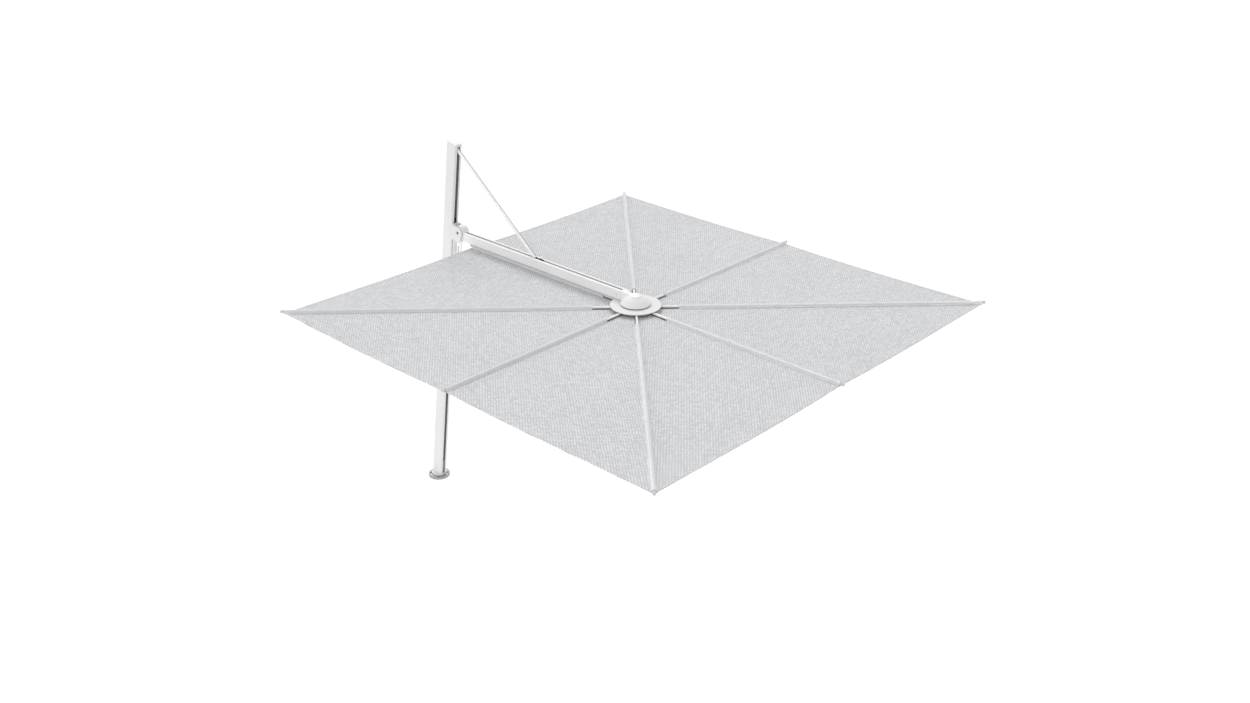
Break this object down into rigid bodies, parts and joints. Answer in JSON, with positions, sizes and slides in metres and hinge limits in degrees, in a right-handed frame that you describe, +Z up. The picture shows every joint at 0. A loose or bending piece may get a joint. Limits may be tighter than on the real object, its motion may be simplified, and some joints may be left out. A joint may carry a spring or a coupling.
{
  "type": "cantilever parasol",
  "caption": "Side-post parasol with a leaning slotted mast, a sliding carriage, a strut-held arm and a flat square canopy on eight folding ribs.",
  "frame": {"origin": "centre of the bolt circle on the foot flange's underside", "axes": "+Z up, +X from the mast towards the canopy, Y along the canopy's side; the part is symmetric about the XZ plane"},
  "size_m": [3.644, 3.04, 2.7253],
  "materials": {
    "white_frame": "satin",
    "inner_casting": "satin",
    "foot_metal": "satin",
    "steel": "satin",
    "dark_plastic": "matte",
    "white_plastic": "satin",
    "cloth": "matte"
  },
  "bodies": {
    "foot": {"foot_flange": "foot_metal", "foot_spigot": "steel", "swivel_washer": "dark_plastic"},
    "mast": {"mast_foot": "white_frame", "mast_profile": "white_frame", "mast_cap": "white_frame", "stay_pin": "steel", "slot_stop": "dark_plastic"},
    "carriage": {"carriage_slider": "dark_plastic", "glide_pads": "dark_plastic", "carriage_yoke": "white_frame", "pivot_pin": "steel", "handle_loop": "white_plastic"},
    "latch": {"latch_trigger": "dark_plastic"},
    "arm": {"arm_profile": "white_frame", "arm_pivot_end": "white_frame", "arm_dome": "white_frame", "dome_cap": "white_plastic"},
    "stay": {"stay_bar": "white_frame", "stay_shoe": "dark_plastic"},
    "head": {"hub_disc": "white_frame", "hub_core": "inner_casting", "rib_pins": "steel", "hub_screws": "steel", "hub_cover": "dark_plastic", "tilt_bracket": "white_frame", "tilt_pin": "steel"},
    "rib_1": {"rib_cradle_1": "dark_plastic", "rib_rod_1": "white_plastic", "rib_cap_1": "white_plastic", "canopy_panel_1": "cloth"},
    "rib_2": {"rib_cradle_2": "dark_plastic", "rib_rod_2": "white_plastic", "rib_cap_2": "white_plastic", "canopy_panel_2": "cloth"},
    "rib_3": {"rib_cradle_3": "dark_plastic", "rib_rod_3": "white_plastic", "rib_cap_3": "white_plastic", "canopy_panel_3": "cloth"},
    "rib_4": {"rib_cradle_4": "dark_plastic", "rib_rod_4": "white_plastic", "rib_cap_4": "white_plastic", "canopy_panel_4": "cloth"},
    "rib_5": {"rib_cradle_5": "dark_plastic", "rib_rod_5": "white_plastic", "rib_cap_5": "white_plastic", "canopy_panel_5": "cloth"},
    "rib_6": {"rib_cradle_6": "dark_plastic", "rib_rod_6": "white_plastic", "rib_cap_6": "white_plastic", "canopy_panel_6": "cloth"},
    "rib_7": {"rib_cradle_7": "dark_plastic", "rib_rod_7": "white_plastic", "rib_cap_7": "white_plastic", "canopy_panel_7": "cloth"},
    "rib_8": {"rib_cradle_8": "dark_plastic", "rib_rod_8": "white_plastic", "rib_cap_8": "white_plastic", "canopy_panel_8": "cloth"}
  },
  "joints": [
    {"name": "mast_swivel", "type": "hinge", "parent": "foot", "child": "mast", "pos_m": [0, 0, 0.02], "axis": [0, 0, 1], "continuous": true},
    {"name": "carriage_slide", "type": "slide", "parent": "mast", "child": "carriage", "axis": [-0.1495, 0, -0.9888], "range_m": [0, 1.21]},
    {"name": "arm_pivot", "type": "hinge", "parent": "carriage", "child": "arm", "pos_m": [0.43, 0, 2.09425], "axis": [0, -1, 0], "range_deg": [0, 66]},
    {"name": "stay_pivot", "type": "hinge", "parent": "mast", "child": "stay", "pos_m": [0.42453, 0, 2.68673], "axis": [0, 1, 0], "range_deg": [0, 38.5]},
    {"name": "head_tilt", "type": "hinge", "parent": "arm", "child": "head", "pos_m": [1.883, 0, 2.0475], "axis": [0, 1, 0], "range_deg": [0, 66.5]},
    {"name": "latch_slide", "type": "slide", "parent": "carriage", "child": "latch", "axis": [0.9888, 0, -0.1495], "range_m": [0, 0.005], "stiffness_N_per_m": 300},
    {"name": "rib_fold_1", "type": "hinge", "parent": "head", "child": "rib_1", "pos_m": [2.164, 0, 2.02], "axis": [0, 1, 0], "range_deg": [0, 91.5], "deforming": ["canopy_panel_1"]},
    {"name": "rib_fold_2", "type": "hinge", "parent": "head", "child": "rib_2", "pos_m": [2.12885, 0.08485, 2.02], "axis": [-0.7071, 0.7071, 0], "range_deg": [0, 91.5], "deforming": ["canopy_panel_2"]},
    {"name": "rib_fold_3", "type": "hinge", "parent": "head", "child": "rib_3", "pos_m": [2.044, 0.12, 2.02], "axis": [-1, 0, 0], "range_deg": [0, 91.5], "deforming": ["canopy_panel_3"]},
    {"name": "rib_fold_4", "type": "hinge", "parent": "head", "child": "rib_4", "pos_m": [1.95915, 0.08485, 2.02], "axis": [-0.7071, -0.7071, 0], "range_deg": [0, 91.5], "deforming": ["canopy_panel_4"]},
    {"name": "rib_fold_5", "type": "hinge", "parent": "head", "child": "rib_5", "pos_m": [1.924, 0, 2.02], "axis": [0, -1, 0], "range_deg": [0, 91.5], "deforming": ["canopy_panel_5"]},
    {"name": "rib_fold_6", "type": "hinge", "parent": "head", "child": "rib_6", "pos_m": [1.95915, -0.08485, 2.02], "axis": [0.7071, -0.7071, 0], "range_deg": [0, 91.5], "deforming": ["canopy_panel_6"]},
    {"name": "rib_fold_7", "type": "hinge", "parent": "head", "child": "rib_7", "pos_m": [2.044, -0.12, 2.02], "axis": [1, 0, 0], "range_deg": [0, 91.5], "deforming": ["canopy_panel_7"]},
    {"name": "rib_fold_8", "type": "hinge", "parent": "head", "child": "rib_8", "pos_m": [2.12885, -0.08485, 2.02], "axis": [0.7071, 0.7071, 0], "range_deg": [0, 91.5], "deforming": ["canopy_panel_8"]}
  ],
  "couplings": [
    {"joint": "carriage_slide", "follows": "arm_pivot", "m_per_rad": 1.042},
    {"joint": "stay_pivot", "follows": "arm_pivot", "ratio": 0.579},
    {"joint": "head_tilt", "follows": "arm_pivot", "ratio": 1},
    {"joint": "rib_fold_1", "follows": "arm_pivot", "ratio": 1.3788},
    {"joint": "rib_fold_2", "follows": "arm_pivot", "ratio": 1.3788},
    {"joint": "rib_fold_3", "follows": "arm_pivot", "ratio": 1.3788},
    {"joint": "rib_fold_4", "follows": "arm_pivot", "ratio": 1.3788},
    {"joint": "rib_fold_5", "follows": "arm_pivot", "ratio": 1.3788},
    {"joint": "rib_fold_6", "follows": "arm_pivot", "ratio": 1.3788},
    {"joint": "rib_fold_7", "follows": "arm_pivot", "ratio": 1.3788},
    {"joint": "rib_fold_8", "follows": "arm_pivot", "ratio": 1.3788}
  ]
}
